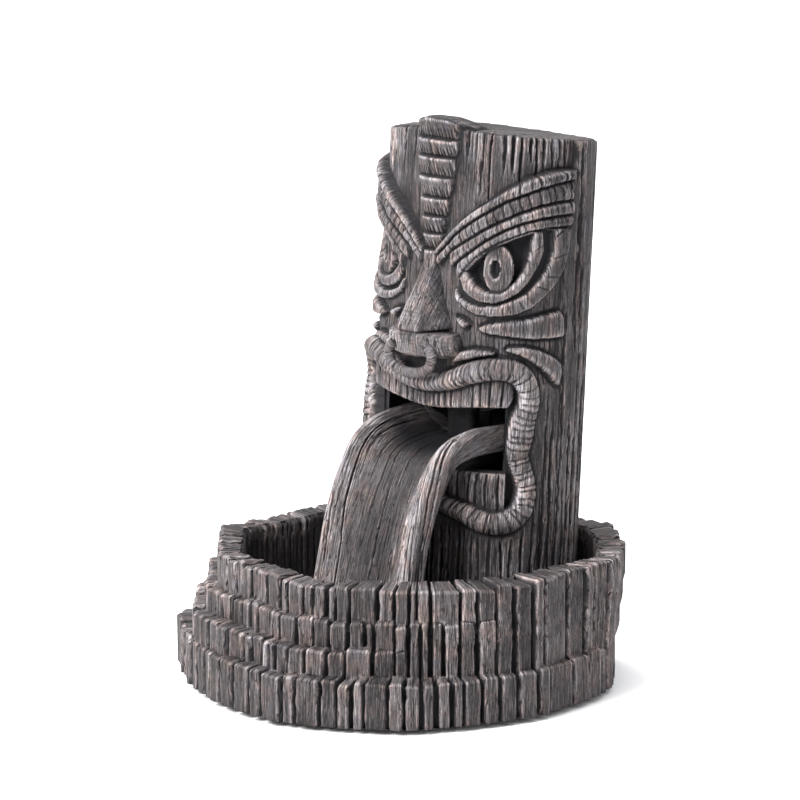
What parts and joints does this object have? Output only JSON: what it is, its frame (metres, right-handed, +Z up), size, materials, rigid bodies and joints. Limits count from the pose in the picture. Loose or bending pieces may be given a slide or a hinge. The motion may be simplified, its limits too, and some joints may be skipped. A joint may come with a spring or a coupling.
{
  "type": "carved face fountain",
  "caption": "Tabletop fountain: a carved-face log column pours water down its tongue into a stepped plank basin, with a small pump inside the column.",
  "frame": {"origin": "centre of the footprint's bounding rectangle, on the floor", "axes": "+Z up, the face and tongue look along -Y, +X is to the figure's own left (the viewer's right)"},
  "size_m": [0.229, 0.2364, 0.3038],
  "materials": {
    "resin_basin": "cast polyresin, matt, dark wash in the cracks, pale dry-brushed edges",
    "resin_figure": "cast polyresin, matt, dark wash in the carving, pale dry-brushed edges",
    "resin_tongue": "cast polyresin, matt, long flowing grain",
    "pump_black": "semi-gloss moulded ABS",
    "pump_grey": "moulded acetal",
    "impeller_white": "moulded acetal",
    "ferrite": "ground ferrite",
    "shaft_ceramic": "polished alumina",
    "rubber_black": "moulded rubber",
    "foot_rubber": "moulded rubber pad",
    "lamination_steel": "stacked laminations",
    "copper_coil": "enamelled copper winding",
    "sponge": "open-cell foam",
    "hose_vinyl": "clear flexible vinyl",
    "elbow_pvc": "moulded PVC"
  },
  "bodies": {
    "basin": {"stepped_basin": "resin_basin", "basin_foot_1": "foot_rubber", "basin_foot_2": "foot_rubber", "basin_foot_3": "foot_rubber", "basin_foot_4": "foot_rubber", "suction_cup_1": "rubber_black", "suction_cup_2": "rubber_black", "suction_cup_3": "rubber_black", "suction_cup_4": "rubber_black", "pump_body": "pump_black", "stator_core": "lamination_steel", "stator_coil": "copper_coil", "cord_gland": "rubber_black", "shaft_bush_rear": "rubber_black", "rotor_shaft": "shaft_ceramic", "volute_cover": "pump_black", "cover_o_ring": "rubber_black"},
    "figure": {"tiki_column": "resin_figure", "tongue_chute": "resin_tongue", "spout_elbow": "elbow_pvc", "delivery_hose": "hose_vinyl", "hose_clip": "pump_grey", "column_pad_1": "foot_rubber", "column_pad_2": "foot_rubber", "column_pad_3": "foot_rubber", "column_pad_4": "foot_rubber"},
    "rotor": {"impeller": "impeller_white", "rotor_magnet": "ferrite"},
    "intake": {"intake_cover": "pump_black", "filter_sponge": "sponge"},
    "slider": {"flow_slider": "pump_grey"}
  },
  "joints": [
    {"name": "figure_lift", "type": "slide", "parent": "basin", "child": "figure", "axis": [0, 0, 1], "range_m": [0, 0.1]},
    {"name": "rotor_spin", "type": "hinge", "parent": "basin", "child": "rotor", "pos_m": [-0.0145, 0.05625, 0.03], "axis": [1, 0, 0], "continuous": true},
    {"name": "intake_pull", "type": "slide", "parent": "basin", "child": "intake", "axis": [1, 0, 0], "range_m": [0, 0.014]},
    {"name": "flow_adjust", "type": "slide", "parent": "intake", "child": "slider", "axis": [0, 0, 1], "range_m": [0, 0.007]}
  ]
}
